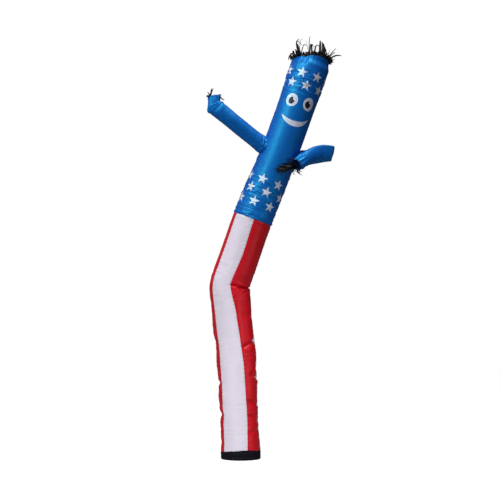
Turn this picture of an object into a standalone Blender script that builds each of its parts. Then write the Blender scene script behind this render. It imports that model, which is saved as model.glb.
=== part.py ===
"""An inflatable air dancer, standing blown up: a striped tube of six sewn panels on a black collar,
bent at a knee, with a plain tube for chest and head, two arms, and black fringe at each open end.
Metres. +Z is up, -Y faces the viewer and +X is the viewer's right. Every cloth is a thin shell."""

import math
from random import Random

import bmesh
import bpy
import numpy as np
from mathutils import Vector

# Driving dimensions
GAP = 0.0003  # between neighbouring pieces
ROOT_GAP = 0.0011  # from the body's curve to an arm's root, whose facets cut the corner
COLLAR_HEIGHT = 0.092  # at the sides
COLLAR_RISE = 0.020  # how much higher its top edge runs in front
COLLAR_PROUD = 0.003  # its face, outside the panels'
STRIPES_TOP = 2.810  # cloth length from the floor to the seam under the plain tube
HEAD_TOP = 4.775  # cloth length from the floor to the head's open rim
RIM_SLANT = 0.042  # the rim's right side reaches this much further than its middle
RIM_RISE = 0.046  # and its front side this much further
RIM_DIP = 0.034  # the notch where the rim folds down at its front left
RIM_DIP_AROUND, RIM_DIP_WIDTH = math.radians(-24), 0.30  # where the notch is, and its half-width
RIM_START, RIM_EASE = 4.30, 0.44  # the rows start to follow the rim here, and do so over this length
SHOULDER = 3.655  # cloth length from the floor to the arms' roots
LEFT_SIDE, RIGHT_SIDE = math.radians(-72), math.radians(101)  # the arms' places around the tube
ROOT_BLEND = 0.16  # of the arm, in which the shape of its root on the body fades
ARMHOLE_SHARE = 0.93  # of the arm's own width
ARMHOLE_REACH = (-0.12, 0.08)  # of its cutter, inwards and outwards from the arm's root

COLLAR_THICKNESS = 0.005
STRIPE_THICKNESS = 0.0030
PLAIN_THICKNESS = 0.0012
FRINGE_THICKNESS = 0.0022

STRIP_BELOW, STRIP_ABOVE = 0.018, 0.016  # a fringe's backing strip, from the rim
STRIP_GAP = 0.002

STEP = 0.005  # between the worked-out points of a centre line
PLAIN_COLUMNS = 24
ARM_COLUMNS = 16


def table(columns, *rows):
    return np.array(list(rows), dtype=[(name, float) for name in columns.split()])


# The tube's course: how it leans and how wide it is, by the length of cloth from the floor.
BODY = table(
    "along lean_right lean_front radius",
    (0.00, 0.0, 0.0, 0.226),
    (0.10, -2.4, 0.0, 0.227),
    (0.38, -2.8, 0.0, 0.217),
    (0.78, -2.4, 0.0, 0.218),
    (1.12, -3.2, 0.0, 0.226),
    (1.30, -6.8, 0.0, 0.225),
    (1.62, -5.6, 0.0, 0.229),
    (1.93, -4.8, 0.0, 0.235),
    (2.07, 20.2, 3.5, 0.232),
    (2.60, 18.4, 3.5, 0.229),
    (2.90, 21.4, 3.5, 0.230),
    (3.20, 22.9, 3.5, 0.228),
    (3.46, 22.3, 3.5, 0.221),
    (3.75, 20.4, 3.5, 0.2175),
    (4.20, 19.4, 3.5, 0.218),
    (4.62, 18.6, 3.5, 0.227),
    (4.71, 18.0, 3.5, 0.224),
    (4.79, 17.6, 3.5, 0.200),
)

# The seams that bound the front panel and the one on its right, in degrees around the tube from
# the front towards the viewer's right. The four panels behind share the rest.
SEAMS = table(
    "along front_left front_right side_right",
    (0.0, -56, 21, 79),
    (0.5, -57, 26, 80),
    (1.1, -56, 21, 80),
    (1.6, -57, 14, 80),
    (2.0, -58, 3, 84),
    (2.4, -58, 8, 86),
    (2.9, -58, 6, 86),
)

# Folds of the cloth: a trough from one point to the other, raised where the depth is below zero.
FOLDS = table(
    "from_along from_around to_along to_around half_width depth",
    (2.000, 7, 2.000, 160, 0.022, 0.026),  # the knee's crease, on the inside of the bend
    (1.990, 20, 1.925, 42, 0.014, -0.005),  # the facet under it
    (1.925, 42, 1.980, 80, 0.014, -0.007),
    (1.270, 26, 1.340, 84, 0.024, 0.014),
    (1.180, 80, 1.150, 96, 0.060, -0.008),
    (1.120, 92, 0.960, 46, 0.020, 0.013),
    (0.960, 46, 0.890, 96, 0.020, 0.016),
    (0.660, 34, 0.600, 92, 0.026, 0.009),
    (0.490, 38, 0.420, 90, 0.024, 0.009),
    (1.640, 40, 1.600, 96, 0.035, 0.007),
    (1.380, -96, 1.330, -66, 0.040, 0.007),
    (1.600, -100, 1.450, -88, 0.060, -0.010),
    (4.740, 66, 4.780, 110, 0.050, -0.014),  # the head's rim, swelling on the right
    (1.130, -98, 1.080, -82, 0.060, -0.007),
    (0.880, -104, 0.870, -66, 0.028, 0.016),
    (0.740, -98, 0.720, -84, 0.050, -0.006),
    (0.550, -104, 0.555, -62, 0.032, 0.028),
    (0.200, -104, 0.190, -66, 0.040, 0.010),
    (1.030, 82, 1.010, 104, 0.030, 0.009),
    (0.850, 84, 0.760, 104, 0.055, -0.009),
    (0.580, 84, 0.540, 104, 0.040, -0.008),
    (0.465, -88, 0.462, -60, 0.018, 0.012),
    (0.700, 150, 0.800, 205, 0.030, 0.011),  # and on the side away from the viewer
    (1.250, 130, 1.160, 190, 0.030, 0.010),
    (1.560, 170, 1.480, 230, 0.030, 0.009),
    (0.350, 160, 0.300, 220, 0.030, 0.008),
)

# Rows of the striped cloth: closer together where its folds are.
STRIPE_ROWS = ((0.36, 4), (1.42, 23), (1.88, 7), (2.12, 10), (STRIPES_TOP, 8))
PLAIN_ROWS = ((3.40, 5), (3.90, 7), (4.60, 7), (HEAD_TOP - STRIP_BELOW, 4), (HEAD_TOP, 1))
PANELS = (("white", 6), ("red", 6), ("white", 4), ("red", 4), ("white", 4), ("red", 4))

# The arms' courses, from the root to the open hand. The heading turns from +X towards +Y, and the
# tilt is how far the width leans from upright towards +X.
LEFT_ARM = table(
    "along heading climb tilt half_width half_depth",
    (0.00, 194, 35, 50, 0.095, 0.090),
    (0.14, 196, 36, 50, 0.092, 0.088),
    (0.45, 198, 36, 50, 0.092, 0.086),
    (0.64, 198, 36, 50, 0.097, 0.068),
    (0.71, 198, 48, 50, 0.100, 0.050),
    (0.78, 198, 84, 50, 0.078, 0.044),
    (0.84, 198, 98, 50, 0.057, 0.040),
)
RIGHT_ARM = table(
    "along heading climb tilt half_width half_depth",
    (0.00, 11, 12, 0, 0.094, 0.092),
    (0.10, 11, 12, 0, 0.091, 0.080),
    (0.20, 12, 11, 0, 0.088, 0.054),
    (0.31, 12, 10, 6, 0.086, 0.030),
    (0.405, 12, 8, 12, 0.085, 0.019),
    (0.445, -72, 5, 16, 0.084, 0.016),
    (0.495, -158, 0, 14, 0.085, 0.018),
    (0.58, -154, -7, 4, 0.093, 0.030),
    (0.72, -144, -21, 0, 0.090, 0.052),
    (0.86, -142, -29, 0, 0.083, 0.062),
    (0.95, -142, -31, 0, 0.078, 0.060),
    (1.00, -142, -32, 0, 0.074, 0.052),
)
LEFT_ROWS, RIGHT_ROWS = 15, 27

# Locks of the fringe by their place around the rim: how long, how far they lean outwards and
# sideways at the root and at the tip, in degrees.
HEAD_LOCKS = table(
    "around length lean_root lean_tip side",
    (-180, 0.15, 2, 12, 0),
    (-120, 0.18, 6, 24, 4),
    (-95, 0.13, 20, 60, 0),
    (-78, 0.09, 70, 172, 0),  # the bunch that droops over the rim at its front left
    (-52, 0.11, 60, 170, 0),
    (-36, 0.12, 14, 36, -4),
    (-8, 0.13, 0, 6, 0),
    (30, 0.15, 6, 22, 4),
    (70, 0.17, 24, 56, 6),
    (110, 0.17, 28, 66, 4),
    (150, 0.17, 8, 24, 0),
    (180, 0.15, 2, 12, 0),
)
LEFT_LOCKS = table(
    "around length lean_root lean_tip side",
    (0, 0.07, 20, 60, 0),
    (90, 0.09, 12, 40, 0),
    (180, 0.11, 10, 30, 0),
    (270, 0.10, 12, 40, 0),
    (360, 0.07, 20, 60, 0),
)
RIGHT_LOCKS = table(
    "around length lean_root lean_tip side",
    (0, 0.14, 6, 20, 0),
    (90, 0.12, -10, -26, 0),
    (180, 0.13, 20, 60, 0),
    (270, 0.16, 10, 34, 0),
    (360, 0.14, 6, 20, 0),
)
HEAD_CELLS, HAND_CELLS = 4, 2  # cells of the backing strip to each column of the wall
LOCK_SEGMENTS = 3
LOCK_SHARES = (0.5, 0.6, 0.7, 0.85, 1.25)  # of the length that the tables give
LOCK_TIP_SHARE = 0.45  # a lock's width at its tip, of its width at the root
LEAN_SCATTER, SIDE_SCATTER = 9, 7  # degrees, either way from what the tables give

COLOURS = {
    "white": ((0.76, 0.72, 0.82, 1), 0.45),
    "red": ((0.45, 0.010, 0.025, 1), 0.42),
    "blue": ((0.006, 0.14, 0.52, 1), 0.36),
    "black": ((0.006, 0.006, 0.008, 1), 0.5),
}


def smooth(share):
    share = min(max(share, 0.0), 1.0)
    return share * share * (3 - 2 * share)


def read(rows, column, along):
    """The column's value at this length, eased from row to row."""
    index = int(np.clip(np.searchsorted(rows["along"], along, "right") - 1, 0, len(rows) - 2))
    low, high = rows[index], rows[index + 1]
    share = smooth((along - low["along"]) / (high["along"] - low["along"]))
    return low[column] + (high[column] - low[column]) * share


def line_through(rows, start, direction):
    """Points every STEP of a centre line that sets out from start and turns as its table says."""
    points = [Vector(start)]
    for index in range(round(rows["along"][-1] / STEP)):
        points.append(points[-1] + direction((index + 0.5) * STEP) * STEP)
    return points


def point_on(line, along):
    """The point at this length, carried straight on past either end."""
    place = along / STEP
    index = min(max(int(place), 0), len(line) - 2)
    return line[index] + (line[index + 1] - line[index]) * (place - index)


def body_axis(along):
    right, front = (math.tan(math.radians(np.interp(along, BODY["along"], BODY[column])))
                    for column in ("lean_right", "lean_front"))
    return Vector((right, -front, 1)).normalized()


BODY_LINE = line_through(BODY, (0, 0, 0), body_axis)


def relief(along, around, radius):
    """How far the folds raise the cloth at this point."""
    raised = 0.0
    for fold in FOLDS:
        start = fold["from_along"], math.radians(fold["from_around"])
        run = fold["to_along"] - start[0], (math.radians(fold["to_around"]) - start[1]) * radius
        swing = math.remainder(around - start[1] - run[1] / radius / 2, math.tau)
        there = along - start[0], (swing + run[1] / radius / 2) * radius
        share = (there[0] * run[0] + there[1] * run[1]) / (run[0] ** 2 + run[1] ** 2)
        share = min(max(share, 0.0), 1.0)
        apart = math.hypot(there[0] - run[0] * share, there[1] - run[1] * share)
        raised -= fold["depth"] * math.exp(-((apart / fold["half_width"]) ** 2))
    return raised


def body_point(along, around):
    """The cloth's outer face, by length from the floor and angle from the front to the right."""
    up = body_axis(along)
    right = Vector((up.z, 0, -up.x)).normalized()
    outwards = right.cross(up) * math.cos(around) + right * math.sin(around)
    radius = read(BODY, "radius", along)
    return point_on(BODY_LINE, along) + outwards * (radius + relief(along, around, radius))


def face_normal(surface, along, around):
    """The outward normal, from points a little before and after this one both ways."""
    reach, swing = 0.002, 0.01
    up = surface(along + reach, around) - surface(along - reach, around)
    across = surface(along, around + swing) - surface(along, around - swing)
    return across.cross(up).normalized()


def material(name):
    if name not in bpy.data.materials:
        made = bpy.data.materials.new(name)
        made.use_nodes = True
        shader = made.node_tree.nodes["Principled BSDF"]
        colour, roughness = COLOURS[name]
        shader.inputs["Base Color"].default_value = colour
        shader.inputs["Roughness"].default_value = roughness
        made.diffuse_color = colour
    return bpy.data.materials[name]


def add_object(name, vertices, faces, colour):
    mesh = bpy.data.meshes.new(name)
    mesh.from_pydata([tuple(v) for v in vertices], [], faces)
    mesh.materials.append(material(colour))
    mesh.shade_smooth()
    mesh.set_sharp_from_angle(angle=math.radians(50))
    piece = bpy.data.objects.new(name, mesh)
    bpy.context.scene.collection.objects.link(piece)
    return piece


def shell(name, outer, inner, colour, closed):
    """A thin closed shell between two grids of points, rows going up and columns to the right."""
    rows, columns = len(outer), len(outer[0])
    vertices = [point for grid in (outer, inner) for row in grid for point in row]
    faces = []

    def corner(side, row, column):
        return (side * rows + row) * columns + column % columns

    def add_quad(a, b, c, d):
        faces.extend(((a, b, c), (a, c, d)))

    across = range(columns if closed else columns - 1)
    for row in range(rows - 1):
        for column in across:
            ring = [(row, column), (row, column + 1), (row + 1, column + 1), (row + 1, column)]
            a, b, c, d = (corner(0, *place) for place in ring)
            add_quad(a, b, c, d)
            a, b, c, d = (corner(1, *place) for place in ring)
            faces.extend(((a, c, b), (a, d, c)))
    for column in across:
        add_quad(corner(1, 0, column), corner(1, 0, column + 1),
                 corner(0, 0, column + 1), corner(0, 0, column))
        top = rows - 1
        add_quad(corner(0, top, column), corner(0, top, column + 1),
                 corner(1, top, column + 1), corner(1, top, column))
    for row in range(0 if closed else rows - 1):
        last = columns - 1
        add_quad(corner(0, row, 0), corner(0, row + 1, 0), corner(1, row + 1, 0), corner(1, row, 0))
        add_quad(corner(0, row, last), corner(1, row, last),
                 corner(1, row + 1, last), corner(0, row + 1, last))
    return add_object(name, vertices, faces, colour)


def stations(start, stretches):
    """Lengths from start to the end of each stretch, spaced evenly in each."""
    places = [start]
    for end, count in stretches:
        first = places[-1]
        places += [first + (end - first) * (index + 1) / count for index in range(count)]
    return places


def collar_top(around):
    return COLLAR_HEIGHT + COLLAR_RISE * max(math.cos(around), 0) ** 2


def seam_angle(index, along):
    """Where the seam on the left of panel 0 to 5 runs; seam 6 is seam 0 again, a turn on."""
    left, right, side = (math.radians(read(SEAMS, column, along))
                         for column in ("front_left", "front_right", "side_right"))
    if index < 2:
        return (left, right)[index]
    return side + (left + math.tau - side) * (index - 2) / 4


def panel_columns(index, along, clear):
    """Angles across panel 0 to 5, its edges drawn in by the clearance in metres."""
    swing = clear / read(BODY, "radius", along)
    left, right = seam_angle(index, along) + swing, seam_angle(index + 1, along) - swing
    count = PANELS[index][1]
    return [left + (right - left) * column / count for column in range(count + 1)]


def build_collar():
    angles = [angle for index in range(len(PANELS))
              for angle in panel_columns(index, COLLAR_HEIGHT, 0)[:-1]]
    # Its section, as shares of its height and how far its face is drawn in there.
    section = ((0.0, 0.007), (0.14, 0.001), (0.35, 0.0), (0.8, 0.0), (1.0, 0.0015))
    outer, inner = [], []
    for share, tuck in section:
        faces = []
        for angle in angles:
            along = (collar_top(angle) - GAP / 2) * share
            point = body_point(along, angle)
            normal = face_normal(body_point, along, angle)
            face = point + normal * (COLLAR_PROUD - tuck)
            back = face - normal * COLLAR_THICKNESS
            if share == 0:
                face.z = back.z = 0.0
            faces.append((face, back))
        outer.append([face for face, back in faces])
        inner.append([back for face, back in faces])
    shell("base_collar", outer, inner, "black", True)


def build_panels():
    rows = stations(COLLAR_HEIGHT, STRIPE_ROWS)
    for index, (colour, _) in enumerate(PANELS):
        outer, inner = [], []
        for row, along in enumerate(rows):
            faces = []
            for angle in panel_columns(index, along, GAP / 2):
                height = along
                if row == 0:
                    height = collar_top(angle) + GAP / 2
                if along == STRIPES_TOP:
                    height -= GAP / 2
                point = body_point(height, angle)
                normal = face_normal(body_point, height, angle)
                faces.append((point, point - normal * STRIPE_THICKNESS))
            outer.append([face for face, back in faces])
            inner.append([back for face, back in faces])
        shell(f"stripe_panel_{index + 1}_{colour}", outer, inner, colour, False)


def rim_height(along, angle):
    """The row's own length, carried to the slanted and dipped rim over the last stretch."""
    from_dip = math.remainder(angle - RIM_DIP_AROUND, math.tau)
    dip = math.exp(-((from_dip / RIM_DIP_WIDTH) ** 2))
    reach = RIM_SLANT * math.sin(angle) + RIM_RISE * math.cos(angle) - RIM_DIP * dip
    return along + reach * smooth((along - RIM_START) / RIM_EASE)


def build_plain_tube():
    angles = [math.tau * column / PLAIN_COLUMNS for column in range(PLAIN_COLUMNS)]
    rows = stations(STRIPES_TOP + GAP / 2, PLAIN_ROWS)
    outer, inner = [], []
    for along in rows:
        faces = []
        for angle in angles:
            height = rim_height(along, angle)
            point = body_point(height, angle)
            normal = face_normal(body_point, height, angle)
            faces.append((point, point - normal * PLAIN_THICKNESS))
        outer.append([face for face, back in faces])
        inner.append([back for face, back in faces])
    return shell("chest_and_head", outer, inner, "blue", True), inner


def outside_body(point):
    """How far outside the plain tube's cloth a point near the shoulders is."""
    along = SHOULDER
    for _ in range(4):
        along += (point - point_on(BODY_LINE, along)).dot(body_axis(along))
    away = point - point_on(BODY_LINE, along)
    return away.length - read(BODY, "radius", along)


def arm_axis(rows, along):
    heading, climb = (math.radians(np.interp(along, rows["along"], rows[column]))
                      for column in ("heading", "climb"))
    return Vector((math.cos(heading) * math.cos(climb), math.sin(heading) * math.cos(climb),
                   math.sin(climb)))


def arm_sections(rows, line, count, inset):
    """Rings of points along an arm, its root ring laid on the body's cloth."""
    start = arm_axis(rows, 0)
    rings = []
    shifts = None
    length = rows["along"][-1]
    for row in range(count + 1):
        along = length * row / count
        if row == count - 1:
            along = length - STRIP_BELOW
        axis = arm_axis(rows, along)
        tilt = math.radians(read(rows, "tilt", along))
        edge = Vector((math.sin(tilt), 0, math.cos(tilt)))
        width = (edge - axis * edge.dot(axis)).normalized()
        depth = axis.cross(width)
        centre = point_on(line, along)
        ring = []
        for column in range(ARM_COLUMNS):
            turn = math.tau * column / ARM_COLUMNS
            ring.append(centre
                        + width * math.cos(turn) * (read(rows, "half_width", along) - inset)
                        + depth * math.sin(turn) * (read(rows, "half_depth", along) - inset))
        if shifts is None:
            shifts = [shift_to_body(point, start) for point in ring]
        fade = 1 - smooth(along / ROOT_BLEND)
        rings.append([point + start * shift * fade for point, shift in zip(ring, shifts)])
    return rings


def shift_to_body(point, direction):
    """How far along the direction the point first stands clear of the body's cloth."""
    low, high = -0.2, 0.2
    for _ in range(40):
        middle = (low + high) / 2
        if outside_body(point + direction * middle) < ROOT_GAP:
            low = middle
        else:
            high = middle
    return high


def build_arm(name, rows, side, count, tube):
    """The arm's shell, and the armhole it opens in the body."""
    line = line_through(rows, body_point(SHOULDER, side), lambda along: arm_axis(rows, along))
    outer = arm_sections(rows, line, count, 0)
    inner = arm_sections(rows, line, count, PLAIN_THICKNESS)
    shell(name, outer, inner, "blue", True)

    axis = arm_axis(rows, 0)
    centre = sum(inner[0], Vector()) / ARM_COLUMNS
    ring = [centre + (point - centre) * ARMHOLE_SHARE for point in inner[0]]
    ends = [[point + axis * reach for point in ring] for reach in ARMHOLE_REACH]
    vertices = ends[0] + ends[1]
    faces = [tuple(reversed(range(ARM_COLUMNS))), tuple(range(ARM_COLUMNS, 2 * ARM_COLUMNS))]
    for column in range(ARM_COLUMNS):
        follow = (column + 1) % ARM_COLUMNS
        faces.append((column, follow, follow + ARM_COLUMNS, column + ARM_COLUMNS))
    cutter = add_object(f"{name}_hole", vertices, faces, "blue")
    cutter.hide_render = True
    cutter.display_type = "WIRE"
    cut = tube.modifiers.new(f"{name}_hole", "BOOLEAN")
    cut.object = cutter
    cut.operation = "DIFFERENCE"
    return inner


def build_fringe(name, below, rim, locks, cells, seed):
    """A strip inside the rim, and a lock rising from every other one of its cells."""
    draw = Random(seed)
    columns = len(rim)
    centre = sum(rim, Vector()) / columns
    axis = sum((r - b for r, b in zip(rim, below)), Vector()).normalized()
    mesh = bmesh.new()
    rings = []
    for column in range(columns):
        after = (column + 1) % columns
        for cell in range(cells):
            share = cell / cells
            low = below[column].lerp(below[after], share)
            high = rim[column].lerp(rim[after], share)
            across = (rim[after] - rim[column]).normalized()
            up = (high - low).normalized()
            out = across.cross(up).normalized()
            if out.dot(high - centre) < 0:
                out = -out
            face = [low - out * STRIP_GAP, high + up * STRIP_ABOVE - out * STRIP_GAP]
            back = [point - out * FRINGE_THICKNESS for point in face]
            rings.append(([mesh.verts.new(p) for p in (face[0], face[1], back[1], back[0])],
                          up, out, across))
    count = len(rings)
    tops = []
    for index in range(count):
        (a0, a1, a2, a3), up, out, across = rings[index]
        b0, b1, b2, b3 = rings[(index + 1) % count][0]
        mesh.faces.new((a0, b0, b1, a1))
        mesh.faces.new((a2, b2, b3, a3))
        mesh.faces.new((a3, b3, b0, a0))
        tops.append(((a1, b1, b2, a2), up, out, across))
    for index, (corners, up, out, across) in enumerate(tops):
        if index % 2:
            mesh.faces.new(corners)
            continue
        turn = 360 * (index + 0.5) / count
        if locks["around"][0] < 0 and turn > 180:
            turn -= 360
        row = {column: np.interp(turn, locks["around"], locks[column])
               for column in locks.dtype.names}
        length = row["length"] * draw.choice(LOCK_SHARES)
        lean_root, lean_tip = (row[end] + draw.uniform(-LEAN_SCATTER, LEAN_SCATTER)
                               for end in ("lean_root", "lean_tip"))
        side = math.radians(row["side"] + draw.uniform(-SIDE_SCATTER, SIDE_SCATTER))
        last = list(corners)
        middle = sum((v.co for v in last), Vector()) / 4
        half = [v.co - middle for v in last]
        for segment in range(1, LOCK_SEGMENTS + 1):
            share = segment / LOCK_SEGMENTS
            lean = math.radians(lean_root + (lean_tip - lean_root) * (share - 0.5 / LOCK_SEGMENTS))
            way = axis * math.cos(lean) + out * math.sin(lean) + across * math.sin(side)
            middle = middle + way.normalized() * (length / LOCK_SEGMENTS)
            turned = out.cross(across).rotation_difference(way)
            taper = 1 + (LOCK_TIP_SHARE - 1) * share
            fresh = [mesh.verts.new(middle + turned @ (h * taper)) for h in half]
            for corner in range(4):
                follow = (corner + 1) % 4
                mesh.faces.new((last[corner], last[follow], fresh[follow], fresh[corner]))
            last = fresh
        mesh.faces.new(last)
    bmesh.ops.triangulate(mesh, faces=mesh.faces)
    bmesh.ops.recalc_face_normals(mesh, faces=mesh.faces)
    data = bpy.data.meshes.new(name)
    mesh.to_mesh(data)
    mesh.free()
    data.materials.append(material("black"))
    bpy.context.scene.collection.objects.link(bpy.data.objects.new(name, data))


def stand_on_origin():
    """Hangs everything on one empty, which brings the middle of the pieces' box over the origin."""
    everything = list(bpy.context.scene.collection.objects)
    points = np.array([vertex.co for piece in everything if not piece.hide_render
                       for vertex in piece.data.vertices])
    middle = (points.min(axis=0) + points.max(axis=0)) / 2
    base = bpy.data.objects.new("base_centre", None)
    base.location = (-middle[0], -middle[1], 0)
    bpy.context.scene.collection.objects.link(base)
    for piece in everything:
        piece.parent = base


def main():
    for old in list(bpy.data.objects):
        bpy.data.objects.remove(old)
    build_collar()
    build_panels()
    tube, wall = build_plain_tube()
    left = build_arm("left_arm", LEFT_ARM, LEFT_SIDE, LEFT_ROWS, tube)
    right = build_arm("right_arm", RIGHT_ARM, RIGHT_SIDE, RIGHT_ROWS, tube)
    build_fringe("head_fringe", wall[-2], wall[-1], HEAD_LOCKS, HEAD_CELLS, 3)
    build_fringe("left_hand_fringe", left[-2], left[-1], LEFT_LOCKS, HAND_CELLS, 5)
    build_fringe("right_hand_fringe", right[-2], right[-1], RIGHT_LOCKS, HAND_CELLS, 8)
    stand_on_origin()


main()
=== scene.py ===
"""The looks of an inflatable air dancer: fine cloth sheets, prints, stitching and fringe, laid on
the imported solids. Metres. +Z is up, -Y faces the viewer and +X is the viewer's right."""

import math
from functools import partial
from types import SimpleNamespace

import bmesh
import bpy
import numpy as np
from mathutils import Euler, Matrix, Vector


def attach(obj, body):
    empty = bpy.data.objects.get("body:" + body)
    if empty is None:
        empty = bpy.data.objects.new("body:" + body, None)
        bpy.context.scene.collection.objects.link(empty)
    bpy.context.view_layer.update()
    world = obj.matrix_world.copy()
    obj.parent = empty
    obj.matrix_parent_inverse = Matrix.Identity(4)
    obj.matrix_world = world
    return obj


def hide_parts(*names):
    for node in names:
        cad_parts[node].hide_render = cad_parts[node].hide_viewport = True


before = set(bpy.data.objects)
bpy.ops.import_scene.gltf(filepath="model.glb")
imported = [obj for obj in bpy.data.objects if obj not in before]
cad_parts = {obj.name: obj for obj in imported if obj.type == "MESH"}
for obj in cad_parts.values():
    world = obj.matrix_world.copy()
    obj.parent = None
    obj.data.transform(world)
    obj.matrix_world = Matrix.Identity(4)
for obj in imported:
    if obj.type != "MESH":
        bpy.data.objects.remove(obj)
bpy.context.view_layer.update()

# --------------------------------------------------
# The stage: a pale floor, a white surround and soft studio lights, strongest from the front left.
# The camera stands 12 m off and a little below the middle of the figure, looking up.
# --------------------------------------------------

# The collar's foot is a ring on the floor, and the circle through its outer points has the tube's
# centre: twice the centre times each point, and a constant, make the point's square.
collar_points = np.array([v.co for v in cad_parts["base_collar"].data.vertices])
floor_ring = collar_points[collar_points[:, 2] < 0.001][:, :2]
far_out = np.hypot(*(floor_ring - floor_ring.mean(axis=0)).T)
floor_ring = floor_ring[far_out > far_out.mean()]
circle = np.linalg.lstsq(np.c_[2 * floor_ring, np.ones(len(floor_ring))],
                         (floor_ring ** 2).sum(axis=1), rcond=None)[0]
FOOT = np.array([circle[0], circle[1], 0.0])

CAMERA_OFFSET = (0.106, -12.0, 1.40)  # from the foot
CAMERA_PITCH = math.radians(4.79)
CAMERA_LENS = 74.16
FLOOR_HALF = 40.0
FLOOR_DROP = 0.0005  # below the figure, so that the two don't meet
FLOOR_COLOUR = (0.30, 0.30, 0.31, 1)
FLOOR_GLOW = 0.92
SURROUND_FROM = (-0.42, -0.66, 0.62)  # where the surround is brightest
SURROUND_LEVELS = (0.025, 0.42)
SURROUND_DARKEST = -0.5  # the cosine of the angle from there at which it is darkest


def add_object(name, data):
    made = bpy.data.objects.new(name, data)
    bpy.context.scene.collection.objects.link(made)
    return made


camera = add_object("camera", bpy.data.cameras.new("camera"))
camera.location = Vector(FOOT) + Vector(CAMERA_OFFSET)
camera.rotation_euler = Euler((math.radians(90) + CAMERA_PITCH, 0, 0))
camera.data.lens = CAMERA_LENS
camera.data.sensor_width = 36
bpy.context.scene.camera = camera
bpy.context.scene.view_settings.view_transform = "Standard"


def add_light(name, place, target, size, watts, spread=180):
    """A soft square lamp at a place from the foot, turned to another."""
    lamp = add_object(name, bpy.data.lights.new(name, "AREA"))
    lamp.data.shape = "RECTANGLE"
    lamp.data.size, lamp.data.size_y = size
    lamp.data.energy = watts
    lamp.data.spread = math.radians(spread)
    lamp.location = Vector(FOOT) + Vector(place)
    aim = Vector(FOOT) + Vector(target) - lamp.location
    lamp.rotation_euler = aim.to_track_quat("-Z", "Y").to_euler()


def feed(tree, socket, value):
    """Links a socket to another one, or sets it to a number or a colour."""
    if isinstance(value, bpy.types.NodeSocket):
        tree.links.new(value, socket)
    else:
        socket.default_value = value


def math_node(tree, operation, *values, clamp=False):
    """A Math node on sockets or numbers; gives its result's socket."""
    node = tree.nodes.new("ShaderNodeMath")
    node.operation = operation
    node.use_clamp = clamp
    for socket, value in zip(node.inputs, values):
        feed(tree, socket, value)
    return node.outputs["Value"]


def vector_node(tree, operation, *values):
    node = tree.nodes.new("ShaderNodeVectorMath")
    node.operation = operation
    for socket, value in zip(node.inputs, values):
        feed(tree, socket, value)
    return node.outputs["Value" if operation in ("LENGTH", "DOT_PRODUCT") else "Vector"]


add_light("key_left", (-3.7, -4.6, 8.0), (0.3, 0, 3.4), (2.4, 6.0), 360)
add_light("key_high", (1.6, -1.8, 10.0), (0.3, 0, 3.4), (1.6, 1.6), 300)
add_light("fill_low", (-1.8, -7.0, 1.0), (0, 0, 0.4), (2.5, 2.0), 10, spread=40)
add_light("fill_left", (-6.5, -0.5, 3.0), (0.2, 0, 2.4), (2.0, 5.0), 28)
add_light("fill_right", (5.5, -4.2, 1.4), (0, 0, 1.1), (1.2, 2.4), 6, spread=44)

world = bpy.data.worlds.new("surround")
bpy.context.scene.world = world
world.use_nodes = True
surround = world.node_tree
surround_light = surround.nodes["Background"]
surround_light.inputs["Color"].default_value = (1, 1, 1, 1)
heading = surround.nodes.new("ShaderNodeTexCoord").outputs["Generated"]
level = surround.nodes.new("ShaderNodeMapRange")
level.inputs["From Min"].default_value = SURROUND_DARKEST
level.inputs["To Min"].default_value, level.inputs["To Max"].default_value = SURROUND_LEVELS
feed(surround, level.inputs["Value"],
     vector_node(surround, "DOT_PRODUCT", heading, SURROUND_FROM))
seen = surround.nodes.new("ShaderNodeLightPath").outputs["Is Camera Ray"]
feed(surround, surround_light.inputs["Strength"],
     math_node(surround, "MAXIMUM", level.outputs["Result"], seen))

floor_mesh = bpy.data.meshes.new("floor")
floor_mesh.from_pydata([(x * FLOOR_HALF, y * FLOOR_HALF, -FLOOR_DROP)
                        for x, y in ((-1, -1), (1, -1), (1, 1), (-1, 1))], [], [(0, 1, 2, 3)])
floor = add_object("floor", floor_mesh)
floor_paint = bpy.data.materials.new("floor_paint")
floor_paint.use_nodes = True
floor_tree = floor_paint.node_tree
floor_shader = floor_tree.nodes["Principled BSDF"]
floor_shader.inputs["Base Color"].default_value = FLOOR_COLOUR
floor_shader.inputs["Roughness"].default_value = 0.9
floor_shader.inputs["Specular IOR Level"].default_value = 0.1
floor_shader.inputs["Emission Color"].default_value = (1, 1, 1, 1)
seen = floor_tree.nodes.new("ShaderNodeLightPath").outputs["Is Camera Ray"]
feed(floor_tree, floor_shader.inputs["Emission Strength"],
     math_node(floor_tree, "MULTIPLY", seen, FLOOR_GLOW))
floor_mesh.materials.append(floor_paint)

# --------------------------------------------------
# The collar: a doubled black band that slips over the fan's outlet, about 0.1 m high, turned
# under at its foot and topstitched twice. The whole tube's course starts on it.
# --------------------------------------------------

COLLAR_HEIGHT = 0.092  # at the sides
COLLAR_RISE = 0.020  # how much higher its top edge runs in front
COLLAR_PROUD = 0.003
COLLAR_THICKNESS = 0.0035
COLLAR_RADIUS = 0.226
COLLAR_COLUMNS = 260
COLLAR_STITCHING = (0.028, 0.086)  # the heights of its two rows
BAND_BLACK = (0.0035, 0.0035, 0.008, 1)
BAND_THREAD = (0.035, 0.032, 0.045, 1)
TURN = math.tau
TUBE_RADIUS = 0.225  # the usual one
COURSE_STEP = 0.005
COURSE_LENGTH = 5.0
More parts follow.
